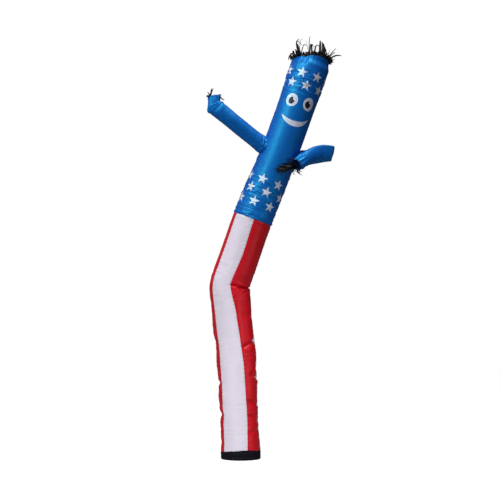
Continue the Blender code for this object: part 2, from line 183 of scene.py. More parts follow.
# The band's section from the inner face, round the turned-under foot and up to the top edge: the
# share of its height, and how far that point lies outside its face.
COLLAR_SECTION = (
    (0.98, -COLLAR_THICKNESS), (0.5, -COLLAR_THICKNESS), (0.06, -COLLAR_THICKNESS),
    (0.015, -0.0035), (0.0, -0.006), (0.0, -0.0075), (0.02, -0.0035), (0.05, -0.0015),
    (0.10, -0.0004), (0.2, 0.0), (0.27, -0.0009), (0.31, -0.0003), (0.45, 0.0004),
    (0.7, 0.0), (0.82, -0.0009), (0.88, -0.0003), (0.96, -0.0004), (1.0, -0.0016))


def table(columns, *rows):
    return np.array(list(rows), dtype=[(name, float) for name in columns.split()])


# The tube's course: how it leans and how wide it is, by the length of cloth from the floor.
BODY = table(
    "along lean_right lean_front radius",
    (0.00, 0.0, 0.0, 0.226),
    (0.10, -2.4, 0.0, 0.227),
    (0.38, -2.8, 0.0, 0.217),
    (0.78, -2.4, 0.0, 0.218),
    (1.12, -3.2, 0.0, 0.226),
    (1.30, -6.8, 0.0, 0.225),
    (1.62, -5.6, 0.0, 0.229),
    (1.93, -4.8, 0.0, 0.235),
    (2.07, 20.2, 3.5, 0.232),
    (2.60, 18.4, 3.5, 0.229),
    (2.90, 21.4, 3.5, 0.230),
    (3.20, 22.9, 3.5, 0.228),
    (3.46, 22.3, 3.5, 0.221),
    (3.75, 20.4, 3.5, 0.2175),
    (4.20, 19.4, 3.5, 0.218),
    (4.62, 18.6, 3.5, 0.227),
    (4.71, 18.0, 3.5, 0.224),
    (4.79, 17.6, 3.5, 0.200),
)

# Folds of the cloth: a trough from one point to the other, raised where the depth is below zero.
FOLDS = table(
    "from_along from_around to_along to_around half_width depth",
    (2.000, 7, 2.000, 160, 0.022, 0.026),  # the knee's crease, on the inside of the bend
    (1.968, 30, 1.972, 80, 0.020, 0.026),
    (2.008, 26, 2.010, 80, 0.024, -0.013),  # the cloth that bulges over it
    (1.985, 20, 1.918, 44, 0.014, -0.009),  # the facets under it, ridge by ridge
    (1.918, 44, 1.975, 82, 0.014, -0.013),
    (1.946, 44, 1.952, 76, 0.024, 0.014),
    (1.968, 24, 1.898, 46, 0.011, 0.009),
    (1.898, 46, 1.955, 84, 0.011, 0.011),
    (1.270, 26, 1.340, 84, 0.019, 0.020),
    (1.225, 34, 1.262, 84, 0.028, -0.006),
    (1.180, 80, 1.150, 96, 0.060, -0.008),
    (1.120, 92, 0.960, 46, 0.015, 0.017),
    (0.960, 46, 0.890, 96, 0.014, 0.020),
    (0.925, 54, 0.850, 100, 0.016, -0.009),
    (0.660, 34, 0.600, 92, 0.018, 0.014),
    (0.490, 38, 0.420, 90, 0.017, 0.014),
    (0.300, 30, 0.340, 88, 0.016, 0.010),
    (1.640, 40, 1.600, 96, 0.035, 0.007),
    (1.380, -96, 1.330, -66, 0.040, 0.007),
    (1.600, -100, 1.450, -88, 0.060, -0.010),
    (1.130, -98, 1.080, -82, 0.060, -0.007),
    (0.880, -104, 0.870, -66, 0.028, 0.016),
    (0.740, -98, 0.720, -84, 0.050, -0.006),
    (0.520, -104, 0.510, -62, 0.030, 0.019),
    (0.200, -104, 0.190, -66, 0.040, 0.010),
    (1.030, 82, 1.010, 104, 0.030, 0.009),
    (0.850, 84, 0.760, 104, 0.055, -0.009),
    (0.580, 84, 0.540, 104, 0.040, -0.008),
    (0.465, -88, 0.462, -60, 0.018, 0.012),
    (4.740, 66, 4.780, 110, 0.060, -0.009),  # the head's rim, swelling on the right
    (4.720, -21, 4.800, -20, 0.034, 0.022),  # its dent in front, and the ridge beside that
    (4.620, -37, 4.780, -36, 0.016, -0.006),
    (0.700, 150, 0.800, 205, 0.030, 0.011),  # and on the side away from the viewer
    (1.250, 130, 1.160, 190, 0.030, 0.010),
    (1.560, 170, 1.480, 230, 0.030, 0.009),
    (0.350, 160, 0.300, 220, 0.030, 0.008),
)


def smooth(share):
    share = np.clip(share, 0, 1)
    return share * share * (3 - 2 * share)


def hump(value, middle, width):
    """1 at the middle, falling away smoothly over the width on both sides."""
    return np.exp(-(((value - middle) / width) ** 2))


def read(rows, column, along):
    """The column's value at these lengths, eased from row to row."""
    index = np.clip(np.searchsorted(rows["along"], along, "right") - 1, 0, len(rows) - 2)
    low, high = rows["along"][index], rows["along"][index + 1]
    start = rows[column][index]
    return start + (rows[column][index + 1] - start) * smooth((along - low) / (high - low))


def unit(vectors):
    return vectors / np.linalg.norm(vectors, axis=-1, keepdims=True)


def stack(*parts):
    return np.stack(np.broadcast_arrays(*parts), axis=-1).astype(float)


def body_axis(along):
    right, front = (np.tan(np.radians(np.interp(along, BODY["along"], BODY[column])))
                    for column in ("lean_right", "lean_front"))
    return unit(stack(right, -front, 1.0))


def run_course(start, axis, length):
    """The points of a course that heads where axis says, and their lengths along it."""
    count = round(length / COURSE_STEP)
    steps = axis((np.arange(count) + 0.5) * COURSE_STEP) * COURSE_STEP
    line = start + np.vstack([np.zeros(3), np.cumsum(steps, axis=0)])
    return line, np.arange(count + 1) * COURSE_STEP


def follow(course, along):
    line, lengths = course
    return stack(*(np.interp(along, lengths, line[:, axis]) for axis in range(3)))


BODY_COURSE = run_course(FOOT, body_axis, COURSE_LENGTH)


def swing(angle):
    """The angle brought between half a turn back and half a turn on."""
    return (angle + math.pi) % TURN - math.pi


def relief(along, around, radius):
    """How far the folds raise the cloth at these points."""
    raised = np.zeros(np.broadcast(along, around).shape)
    for fold in FOLDS:
        start = math.radians(fold["from_around"])
        run = (fold["to_along"] - fold["from_along"],
               (math.radians(fold["to_around"]) - start) * radius)
        half = (math.radians(fold["to_around"]) - start) / 2
        there = (along - fold["from_along"], (swing(around - start - half) + half) * radius)
        share = (there[0] * run[0] + there[1] * run[1]) / (run[0] ** 2 + run[1] ** 2)
        share = np.clip(share, 0, 1)
        apart = np.hypot(there[0] - run[0] * share, there[1] - run[1] * share)
        raised -= fold["depth"] * hump(apart, 0, fold["half_width"])
    return raised


def body_face(along, around):
    """The cloth's outer face, by length from the floor and angle from the front to the right."""
    up = body_axis(along)
    right = unit(stack(up[..., 2], 0.0, -up[..., 0]))
    outwards = (np.cross(right, up) * np.cos(around)[..., None]
                + right * np.sin(around)[..., None])
    radius = read(BODY, "radius", along)
    reach = radius + relief(along, around, radius)
    return follow(BODY_COURSE, along) + outwards * reach[..., None]


def body_normal(along, around, step=0.002, turn=0.01):
    """Which way is out, by the points a step above and below and a turn to both sides."""
    up = body_face(along + step, around) - body_face(along - step, around)
    across = body_face(along, around + turn) - body_face(along, around - turn)
    return unit(np.cross(across, up))


def raised_face(along, around, out):
    """The outer face, moved out by this much."""
    return body_face(along, around) + body_normal(along, around) * out[..., None]


def corners(grid):
    """The four corners of each cell of a grid whose rows go up."""
    return np.stack([grid[:-1, :-1], grid[:-1, 1:], grid[1:, 1:], grid[1:, :-1]], axis=2)


def add_places(mesh, name, places):
    layer = mesh.uv_layers.new(name=name)
    layer.data.foreach_set("uv", places.reshape(-1).astype(np.float32))


def lay_cloth(name, sheets, material):
    """A piece of one or more sheets. Each is a grid of points, rows going up, with its corners'
    places on the flat cloth in metres; where these have one more column, the sheet closes."""
    count, quads = 0, []
    for points, places in sheets:
        index = count + np.arange(points.size // 3).reshape(points.shape[:2])
        count += index.size
        if places.shape[1] > index.shape[1]:
            index = np.c_[index, index[:, :1]]
        quads.append(corners(index).reshape(-1, 4))
    quads = np.concatenate(quads)
    mesh = bpy.data.meshes.new(name)
    mesh.vertices.add(count)
    mesh.vertices.foreach_set(
        "co", np.concatenate([points.reshape(-1) for points, _ in sheets]).astype(np.float32))
    mesh.loops.add(quads.size)
    mesh.loops.foreach_set("vertex_index", quads.reshape(-1).astype(np.int32))
    mesh.polygons.add(len(quads))
    mesh.polygons.foreach_set("loop_start", np.arange(0, quads.size, 4, dtype=np.int32))
    mesh.update(calc_edges=True)
    add_places(mesh, "cloth", np.concatenate([corners(places).reshape(-1) for _, places in sheets]))
    mesh.validate()
    mesh.shade_smooth()
    mesh.materials.append(material)
    piece = add_object(name, mesh)
    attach(piece, "root")
    return piece


def closed_places(around, radius, end, along):
    """The places of a sheet that closes, by angle and length; its last column lies at the end."""
    return stack(np.c_[around, np.full(len(around), end)] * radius, np.c_[along, along[:, :1]])


def new_group(name, inputs, outputs):
    """An empty shader group, its inputs and its outputs as seen from inside. An input is a number
    with its usual value, or a vector where that is None, and every output is a number."""
    group = bpy.data.node_groups.new(name, "ShaderNodeTree")
    for socket, value in inputs.items():
        kind = "NodeSocketVector" if value is None else "NodeSocketFloat"
        made = group.interface.new_socket(socket, in_out="INPUT", socket_type=kind)
        if value is not None:
            made.default_value = value
    for socket in outputs:
        group.interface.new_socket(socket, in_out="OUTPUT", socket_type="NodeSocketFloat")
    given, made = group.nodes.new("NodeGroupInput"), group.nodes.new("NodeGroupOutput")
    return group, given.outputs, made.inputs


def place_group(tree, group, **values):
    """The outputs of a group in a material, its inputs fed; spaces in their names are _ here."""
    node = tree.nodes.new("ShaderNodeGroup")
    node.node_tree = group
    for name, value in values.items():
        feed(tree, node.inputs[name.replace("_", " ")], value)
    return node.outputs


def split_axes(tree, vector):
    node = tree.nodes.new("ShaderNodeSeparateXYZ")
    tree.links.new(vector, node.inputs["Vector"])
    return node.outputs


def build_nylon_group():
    """Thin coated nylon: fine threads, a ripstop grid, small soft dents and an uneven dye."""
    group, given, out = new_group("nylon cloth", {"Cloth": None, "Grid": 0.006, "Dents": 1.0},
                                  ("Height", "Tone"))
    maths = partial(math_node, group)
    grid = vector_node(group, "SCALE", given["Cloth"])
    feed(group, grid.node.inputs["Scale"], maths("DIVIDE", 1.0, given["Grid"]))
    cell = split_axes(group, vector_node(group, "FRACTION", grid))
    ripstop = maths("MAXIMUM", *(maths("GREATER_THAN", cell[axis], 0.90) for axis in ("X", "Y")))

    def noise(scale, detail):
        node = group.nodes.new("ShaderNodeTexNoise")
        node.inputs["Scale"].default_value = scale
        node.inputs["Detail"].default_value = detail
        group.links.new(given["Cloth"], node.inputs["Vector"])
        return node.outputs["Fac"]

    dents = maths("MULTIPLY", noise(38, 3), given["Dents"])
    threads = maths("MULTIPLY", noise(900, 1), 0.05)
    height = maths("ADD", maths("MULTIPLY", ripstop, 0.05), maths("ADD", dents, threads))
    feed(group, out["Height"], height)
    feed(group, out["Tone"], maths("MULTIPLY_ADD", noise(7, 2), 0.10, 0.95))
    return group


NYLON = build_nylon_group()


def build_stitch_group():
    """A row of topstitching: thread and its needle holes, by the distance from a seam."""
    group, given, out = new_group(
        "topstitching", {"From Seam": 0.0, "Along": 0.0, "First Row": 0.006, "Row Width": 0.0014,
                         "Stitch": 0.004}, ("Thread", "Pull"))
    maths = partial(math_node, group)
    away = maths("ABSOLUTE", maths("SUBTRACT", given["From Seam"], given["First Row"]))
    row = maths("LESS_THAN", away, given["Row Width"])
    step = maths("FRACT", maths("DIVIDE", given["Along"], given["Stitch"]))
    feed(group, out["Thread"], maths("MULTIPLY", row, maths("LESS_THAN", step, 0.72)))
    feed(group, out["Pull"], maths("SUBTRACT", 1.0, maths("DIVIDE", away, 0.007), clamp=True))
    return group


STITCHING = build_stitch_group()


def read_places(tree, name):
    """The places on the cloth that a mesh carries under this name."""
    node = tree.nodes.new("ShaderNodeUVMap")
    node.uv_map = name
    return node.outputs["UV"]


def new_cloth(name, colour, roughness, shine, grid, dents, shine_colour=(1, 1, 1, 1)):
    """A nylon: its material with the tree and the shader in it, its place on the flat cloth and
    that place's two lengths, its dyed colour, a little uneven, and the height of its face."""
    made = bpy.data.materials.new(name)
    made.use_nodes = True
    tree = made.node_tree
    shader = tree.nodes["Principled BSDF"]
    shader.inputs["Roughness"].default_value = roughness
    shader.inputs["Specular IOR Level"].default_value = shine
    shader.inputs["Specular Tint"].default_value = shine_colour
    place = read_places(tree, "cloth")
    lengths = split_axes(tree, place)
    cloth = place_group(tree, NYLON, Cloth=place, Grid=grid, Dents=dents)
    dyed = tree.nodes.new("ShaderNodeHueSaturation")
    dyed.inputs["Color"].default_value = colour
    feed(tree, dyed.inputs["Value"], cloth["Tone"])
    return SimpleNamespace(material=made, tree=tree, shader=shader, place=place,
                           across=lengths["X"], up=lengths["Y"],
                           colour=dyed.outputs["Color"], height=cloth["Height"])


def mix_colours(tree, share, first, second):
    """A colour mix; the share and both colours may be sockets."""
    node = tree.nodes.new("ShaderNodeMix")
    node.data_type = "RGBA"
    ends = (node.inputs["Factor"], node.inputs[6], node.inputs[7])
    for socket, value in zip(ends, (share, first, second)):
        feed(tree, socket, value)
    return node.outputs[2]


def finish_cloth(cloth, colour, height, depth):
    """The cloth's material with this colour, and its face raised by the height times the depth."""
    bump = cloth.tree.nodes.new("ShaderNodeBump")
    bump.inputs["Distance"].default_value = depth
    feed(cloth.tree, bump.inputs["Height"], height)
    feed(cloth.tree, cloth.shader.inputs["Normal"], bump.outputs["Normal"])
    feed(cloth.tree, cloth.shader.inputs["Base Color"], colour)
    return cloth.material


def collar_top(around):
    """The height of its top edge."""
    return COLLAR_HEIGHT + COLLAR_RISE * np.maximum(np.cos(around), 0) ** 2


def lumps(around, along, wide, tall, seed):
    """Smooth random lumps about that wide and tall, from -1 to 1, that join up around the tube."""
    cells = max(round(TURN * TUBE_RADIUS / wide), 3)
    across = (np.asarray(around) % TURN) / TURN * cells
    up = np.asarray(along) / tall + 7  # so that no cell is below the first
    across, up = np.broadcast_arrays(across, up)
    grid = np.random.default_rng(seed).uniform(-1, 1, (cells, int(up.max()) + 3))
    left, low = across.astype(int) % cells, up.astype(int)
    right = (left + 1) % cells
    a, b = smooth(across - np.floor(across)), smooth(up - low)
    return ((grid[left, low] * (1 - a) + grid[right, low] * a) * (1 - b)
            + (grid[left, low + 1] * (1 - a) + grid[right, low + 1] * a) * b)


def build_collar():
    band = new_cloth("black_band", BAND_BLACK, 0.62, 0.10, 0.003, 0.6)
    maths = partial(math_node, band.tree)
    rows = [place_group(band.tree, STITCHING, From_Seam=band.up, Along=band.across,
                        First_Row=height, Row_Width=0.0013, Stitch=0.007)
            for height in COLLAR_STITCHING]
    thread, pull = (maths("MAXIMUM", *(row[part] for row in rows)) for part in ("Thread", "Pull"))
    look = finish_cloth(band, mix_colours(band.tree, thread, band.colour, BAND_THREAD),
                        maths("SUBTRACT", band.height, maths("MULTIPLY", pull, 0.9)), 0.0012)

    around = np.linspace(0, TURN, COLLAR_COLUMNS, endpoint=False)
    points, heights = [], []
    for share, out in COLLAR_SECTION:
        along = collar_top(around) * share
        wave = lumps(around, along, 0.05, 0.04, 11) * 0.0010 * smooth(share * 4)
        row = raised_face(along, around, COLLAR_PROUD + out + wave)
        row[:, 2] = np.maximum(row[:, 2], 0) if share else 0
        points.append(row)
        heights.append(along)
    points, heights = np.array(points), np.array(heights)
    places = closed_places(around + 0 * heights, COLLAR_RADIUS, TURN, heights)
    piece = lay_cloth("collar_band", [(points, places)], look)
    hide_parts("base_collar")


build_collar()

# --------------------------------------------------
# The striped lower half: six long panels of white and red nylon, cut to taper and sewn side by
# side with a doubled seam that is topstitched and puckers. The air rounds each panel a little.
# --------------------------------------------------

STRIPES_TOP = 2.810
GAP = 0.0003  # between neighbouring cloths at a seam
PANELS = ("white", "red", "white", "red", "white", "red")
PANEL_ROWS = 440
PANEL_COLUMNS = (54, 38, 34, 34, 34, 34)
PANEL_BULGE = 0.0035
SEAM_DIP = 0.0012
SEAM_REACH = 0.008
SEAM_WAVE, SEAM_WAVE_STEP = 0.0016, 0.043  # the puckers along each seam
TOP_TUCK, TOP_TUCK_REACH = 0.0035, 0.009  # how the seam to the plain tube draws in both cloths
FOOT_TUCK = 0.0022  # how far the foot is drawn in, inside the collar
FOOT_DEPTH = 0.006  # how far it reaches down into the collar
WHITE = (0.77, 0.71, 0.82, 1)
RED = (0.60, 0.0040, 0.013, 1)

SEAMS = table(
    "along front_left front_right side_right",
    (0.0, -56, 21, 84),
    (0.5, -57, 26, 85),
    (0.84, -56.5, 23.5, 85),
    (0.93, -56.3, 23, 77),
    (1.02, -56, 22, 84),
    (1.25, -56.3, 18.5, 85),
    (1.34, -56.5, 17.5, 78),
    (1.43, -56.8, 16.5, 84),
    (1.6, -57, 14, 85),
    (2.0, -58, 3, 86),
    (2.4, -58, 8, 87),
    (2.9, -58, 6, 87),
)
# Where the panels are slack and crumple: at the knee, and in two places below it.
SLACK = table(
    "along reach amount",
    (2.0, 0.22, 1.0),
    (1.15, 0.35, 0.6),
    (0.5, 0.3, 0.8),
)


def seam_angle(index, along):
    """Where the seam on the left of panel 0 to 5 runs; seam 6 is seam 0 again, a turn on."""
    left, right, side = (np.radians(read(SEAMS, column, along))
                         for column in ("front_left", "front_right", "side_right"))
    if index < 2:
        return (left, right)[index]
    return side + (left + TURN - side) * (index - 2) / 4


def creases(around, along, wide, tall, seed, level=0.55):
    """Sharp-edged folds between lumps: highest on each crease and falling away on both sides. The
    level is what lies on the smooth cloth."""
    bend = lumps(around, along, wide * 2.3, tall * 2.3, seed + 50) * 0.35
    return 1 - level - np.abs(lumps(around + bend * wide / TUBE_RADIUS, along + bend * tall,
                                    wide, tall, seed))


STRIPE_DENTS, STRIPE_FOLDS = 0.0085, 0.0034  # how deep the small dents and the long folds are


def stripe_detail(along, around, index):
    """How far the cloth of a panel stands out from the smooth tube."""
    left, right = seam_angle(index, along), seam_angle(index + 1, along)
    from_edge = np.minimum(around - left, right - around) * read(BODY, "radius", along)
    share = np.clip((around - left) / (right - left), 0, 1)
    bulge = PANEL_BULGE * (4 * share * (1 - share) - 0.35)
    dip = SEAM_DIP * hump(from_edge, 0, SEAM_REACH)
    nearest = np.where(share < 0.5, index, (index + 1) % 6)
    bent = along * TURN / SEAM_WAVE_STEP + nearest * 1.7 + 2 * np.sin(along * 9 + nearest)
    pucker = np.sin(bent) * hump(from_edge, 0.014, 0.016) * SEAM_WAVE
    slack = sum(spot["amount"] * hump(along, spot["along"], spot["reach"]) for spot in SLACK)
    slack = slack + 0.5 * smooth((along - 2.6) / 0.2)  # and towards the plain tube
    fine = creases(around, along, 0.16, 0.055, 21, 0.6)
    long_folds = lumps(around, along, 0.07, 0.6, 22)
    sides = 1 - 0.65 * np.cos(around / 2) ** 8
    soft = fine * STRIPE_DENTS * (0.25 + slack) * sides + long_folds * STRIPE_FOLDS
    return bulge - dip + pucker + soft * np.minimum(1, from_edge / 0.02)


def build_stripe_material(name, colour, roughness, shine, shine_colour=(1, 1, 1, 1)):
    """The cloth of one colour, its doubled hem a little darker and stitched near the seam."""
    cloth = new_cloth(name, colour, roughness, shine, 0.006, 0.8, shine_colour)
    maths = partial(math_node, cloth.tree)
    sides = split_axes(cloth.tree, read_places(cloth.tree, "edge"))
    near = maths("MINIMUM", sides["X"], sides["Y"])
    stitch = place_group(cloth.tree, STITCHING, From_Seam=near, Along=cloth.up, First_Row=0.008)
    thread, doubled = (tuple(channel * share for channel in colour[:3]) + (1,)
                       for share in (0.72, 0.90))
    stitched = mix_colours(cloth.tree, stitch["Thread"], cloth.colour, thread)
    hem = maths("MULTIPLY", maths("LESS_THAN", near, 0.012), 0.14)
    height = maths("SUBTRACT", cloth.height, maths("MULTIPLY", stitch["Pull"], 0.5))
    return finish_cloth(cloth, mix_colours(cloth.tree, hem, stitched, doubled), height, 0.0022)


def build_panels():
    looks = {"white": build_stripe_material("white_nylon", WHITE, 0.48, 0.15),
             "red": build_stripe_material("red_nylon", RED, 0.36, 0.42, (1, 0.42, 0.46, 1))}
    for index, colour in enumerate(PANELS):
        share = np.linspace(0, 1, PANEL_COLUMNS[index] + 1)[None, :]
        rows = np.linspace(0, 1, PANEL_ROWS + 1)[:, None]
        middle = COLLAR_HEIGHT + (STRIPES_TOP - COLLAR_HEIGHT) * rows
        clear = GAP / read(BODY, "radius", middle)
        around = (seam_angle(index, middle) + clear) * (1 - share)
        around = around + (seam_angle(index + 1, middle) - clear) * share
        low = collar_top(around[:1]) + GAP - FOOT_DEPTH
        along = low + (STRIPES_TOP - GAP - low) * rows
        out = stripe_detail(along, around, index)
        out = out - hump(along, STRIPES_TOP, TOP_TUCK_REACH) * TOP_TUCK
        out = out - FOOT_TUCK * (1 - smooth((along - low) / 0.02))
        radius = read(BODY, "radius", along)
        sheet = (raised_face(along, around, out), stack(around * radius, along))
        piece = lay_cloth(f"stripe_{index + 1}_{colour}", [sheet],
                          looks[colour])
        left, right = seam_angle(index, along), seam_angle(index + 1, along)
        edge = stack((around - left) * radius, (right - around) * radius)
        add_places(piece.data, "edge", corners(edge))
        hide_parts(f"stripe_panel_{index + 1}_{colour}")


build_panels()

# --------------------------------------------------
# Chest and head: one plain tube of blue nylon, sewn to the stripes, with a tapering open rim.
# Two rows of white stars are printed above the face and three above the seam, all the way round,
# with white eyes and a smile between them, turned a little to the viewer's right.
# --------------------------------------------------

HEAD_TOP = 4.775
RIM_SLANT, RIM_RISE, RIM_DIP = 0.042, 0.046, 0.008
RIM_DIP_AROUND, RIM_DIP_WIDTH = math.radians(-24), 0.30
RIM_START, RIM_EASE = 4.30, 0.44
TUBE_ROWS, TUBE_COLUMNS = 330, 240
PRINT_RADIUS = 0.22  # turns an angle into a length on the printed cloth
BLUE = (0.0003, 0.063, 0.450, 1)
BLUE_SHINE = (0.06, 0.86, 1.0, 1)
PRINT_WHITE = (0.74, 0.72, 0.84, 1)
PRINT_BLACK = (0.035, 0.032, 0.045, 1)
STAR_REACH = 0.067  # from its middle to a tip
STAR_NOTCH = 0.40  # how far the notch between two tips lies from its middle, as a share of that
ARMHOLE_UP = 3.655
LEFT_SIDE, RIGHT_SIDE = math.radians(-72), math.radians(101)
ARMHOLE_RADIUS, ARMHOLE_NEAR = 0.08272, 0.25  # the cut, and how near to the armhole it is made

# Rows of seven stars: their place up the cloth, the middle one's angle and the angle between.
STAR_ROWS = table(
    "along middle step",
    (4.592, -15.4, 48.8),
    (4.460, 8.9, 47.6),
    (3.278, -15.2, 52.4),
    (3.148, 10.8, 52.8),
    (3.006, -14.2, 51.6),
)
STARS = np.array([(math.radians(row["middle"] + row["step"] * place) * PRINT_RADIUS, row["along"])
                  for row in STAR_ROWS for place in range(-3, 4)])

# The face, in metres around from the front and up the cloth.
EYES = (((-0.070, 4.253), (0.073, 0.076)), ((0.143, 4.266), (0.072, 0.077)))
PUPILS = (((-0.072, 4.245), (0.035, 0.042)), ((0.133, 4.260), (0.036, 0.042)))
GLINTS = (((-0.046, 4.270), (0.014, 0.014)), ((0.152, 4.287), (0.011, 0.011)))
SMILE_TIPS = ((-0.134, 4.068), (0.220, 4.105))
SMILE_DROPS = (0.118, 0.056)  # of its lower and its upper edge, below the line between its tips

# The arms' courses, from the root to the open hand. The heading turns from +X towards +Y, and the
# tilt is how far the width leans from upright towards +X.
LEFT_ARM = table(
    "along heading climb tilt half_width half_depth",
    (0.00, 194, 35, 50, 0.095, 0.090),
    (0.14, 196, 36, 50, 0.092, 0.088),
    (0.45, 198, 36, 50, 0.092, 0.086),
    (0.64, 198, 36, 50, 0.097, 0.068),
    (0.71, 198, 48, 50, 0.100, 0.050),
    (0.78, 198, 88, 50, 0.075, 0.044),
    (0.84, 198, 80, 50, 0.064, 0.040),
)
RIGHT_ARM = table(
    "along heading climb tilt half_width half_depth",
    (0.00, 11, 12, 0, 0.094, 0.092),
    (0.10, 11, 12, 0, 0.091, 0.080),
    (0.20, 12, 11, 0, 0.088, 0.054),
    (0.31, 12, 10, 6, 0.086, 0.030),
    (0.405, 12, 8, 12, 0.085, 0.019),
    (0.445, -72, 5, 16, 0.084, 0.016),
    (0.495, -158, 0, 14, 0.085, 0.018),
    (0.58, -154, -7, 4, 0.093, 0.030),
    (0.72, -144, -21, 0, 0.090, 0.052),
    (0.86, -142, -29, 0, 0.083, 0.062),
    (0.95, -142, -31, 0, 0.078, 0.060),
    (1.035, -142, -32, 0, 0.073, 0.050),
)


def arm_axis(rows, along):
    heading, climb = (np.radians(np.interp(along, rows["along"], rows[column]))
                      for column in ("heading", "climb"))
    return stack(np.cos(heading) * np.cos(climb), np.sin(heading) * np.cos(climb), np.sin(climb))


def rim_height(along, around):
    """The row's own length, carried to the slanted and dipped rim over the last stretch."""
    dip = hump(swing(around - RIM_DIP_AROUND), 0, RIM_DIP_WIDTH)
    reach = RIM_SLANT * np.sin(around) + RIM_RISE * np.cos(around) - RIM_DIP * dip
    return along + reach * smooth((along - RIM_START) / RIM_EASE)


TUBE_DENTS = (0.0075, 0.0030)  # how deep the small and the smallest dents are
TUBE_RINGS, TUBE_FOLDS = 0.0090, 0.0016  # and the creases around, and the long folds


def tube_detail(along, around):
    """How far the cloth of the plain tube stands out from the smooth one: it puckers most where
    the ink lies on it and at its seams."""
    prints = hump(along, 3.10, 0.20) + hump(along, 4.50, 0.13)
    seam = hump(along, STRIPES_TOP, 0.07)
    turned = swing(around)
    armhole = hump(along, 3.62, 0.12) * hump(turned, -1.35, 0.50)
    left_edge = hump(turned, -1.40, 0.45)
    slack = 0.07 + 0.8 * prints + 0.9 * seam + 0.9 * armhole + 0.30 * left_edge
    fine = creases(around, along, 0.10, 0.042, 31)
    finer = creases(around, along, 0.045, 0.024, 32)
    rings = creases(around, along, 0.20, 0.022, 33)
    long_folds = lumps(around, along, 0.08, 0.7, 34)
    out = (fine * TUBE_DENTS[0] + finer * TUBE_DENTS[1] + rings * TUBE_RINGS) * slack
    out = out + long_folds * TUBE_FOLDS
    out -= TOP_TUCK * hump(along, STRIPES_TOP, TOP_TUCK_REACH)
    out += 0.0015 * hump(along, STRIPES_TOP + 0.022, 0.010)
    gathers = np.sin(around * 21 + 2.5 * np.sin(around * 5)) * 0.0007
    return out + gathers * smooth((along - 4.70) / 0.07)


def build_oval_group():
    """A printed oval, by its middle and its half width and height in metres."""
    group, given, out = new_group(
        "printed oval", {"Cloth": None, "Middle": None, "Half Size": None}, ("Print",))
    away = vector_node(group, "SUBTRACT", given["Cloth"], given["Middle"])
    away = vector_node(group, "DIVIDE", away, given["Half Size"])
    away = vector_node(group, "MULTIPLY", away, (1, 1, 0))
    inside = math_node(group, "SUBTRACT", 1.0, vector_node(group, "LENGTH", away))
    feed(group, out["Print"], math_node(group, "MULTIPLY_ADD", inside, 60.0, 0.5, clamp=True))
    return group


OVAL = build_oval_group()


def build_star_group():
    """A printed five-pointed star, one tip up, by the place from its middle and its reach."""
    group, given, out = new_group("printed star", {"From Middle": None, "Reach": 0.06},
                                  ("Print",))
    maths = partial(math_node, group)
    fifth = TURN / 5
    place = split_axes(group, given["From Middle"])
    turn = maths("ADD", maths("ARCTAN2", place["X"], place["Y"]), TURN + fifth / 2)
    turn = maths("ABSOLUTE", maths("SUBTRACT", maths("MODULO", turn, fifth), fifth / 2))
    away = vector_node(group, "LENGTH", given["From Middle"])
    # Each edge runs from a tip to the notch beside it; a point is inside where it lies behind it.
    notch = (STAR_NOTCH * math.cos(fifth / 2), STAR_NOTCH * math.sin(fifth / 2))
    length = math.hypot(notch[1], 1 - notch[0])
    lean = (notch[1] / length, (1 - notch[0]) / length)
    parts = [maths("MULTIPLY", maths("MULTIPLY", away, maths(part, turn)), share)
             for part, share in zip(("COSINE", "SINE"), lean)]
    limit = maths("MULTIPLY", given["Reach"], lean[0])
    inside = maths("SUBTRACT", limit, maths("ADD", *parts))
    feed(group, out["Print"], maths("MULTIPLY_ADD", inside, 900.0, 0.5, clamp=True))
    return group


STAR = build_star_group()


def smile_circle(drop):
    """The circle through both tips of the smile that hangs this far below them."""
    (x0, y0), (x1, y1) = SMILE_TIPS
    chord = math.hypot(x1 - x0, y1 - y0)
    radius = (chord ** 2 / 4 + drop ** 2) / (2 * drop)
    up = (-(y1 - y0) / chord, (x1 - x0) / chord)
    reach = radius - drop
    return ((x0 + x1) / 2 + up[0] * reach, (y0 + y1) / 2 + up[1] * reach), radius


def build_blue_material(name, printed):
    blue = new_cloth(name, BLUE, 0.49, 1.0, 0.006, 1.0, BLUE_SHINE)
    blue.shader.inputs["IOR"].default_value = 1.75
    colour, tree = blue.colour, blue.tree
    if printed:
        maths = partial(math_node, tree)

        def oval(middle, half):
            return place_group(tree, OVAL, Cloth=blue.place, Middle=(*middle, 0),
                               Half_Size=(*half, 1))["Print"]

        white = place_group(tree, STAR, From_Middle=read_places(tree, "star"),
                            Reach=STAR_REACH)["Print"]
        (lower, lower_radius), (upper, upper_radius) = (smile_circle(drop) for drop in SMILE_DROPS)
        smile = maths("MULTIPLY", oval(lower, (lower_radius,) * 2),
                      maths("SUBTRACT", 1.0, oval(upper, (upper_radius,) * 2)))
        for mask in (smile, *(oval(*eye) for eye in EYES)):
            white = maths("MAXIMUM", white, mask)
        black = maths("MAXIMUM", *(oval(*pupil) for pupil in PUPILS))
        glint = maths("MAXIMUM", *(oval(*spot) for spot in GLINTS))
        black = maths("MULTIPLY", black, maths("SUBTRACT", 1.0, glint))
        colour = mix_colours(tree, white, colour, PRINT_WHITE)
        colour = mix_colours(tree, black, colour, PRINT_BLACK)
        feed(tree, blue.shader.inputs["Metallic"], black)  # the black ink shines grey
    return finish_cloth(blue, colour, blue.height, 0.0026)


def cut_faces(mesh, gone):
    work = bmesh.new()
    work.from_mesh(mesh)
    work.faces.ensure_lookup_table()
    bmesh.ops.delete(work, geom=[work.faces[i] for i in np.nonzero(gone)[0]], context="FACES")
    work.to_mesh(mesh)
    work.free()


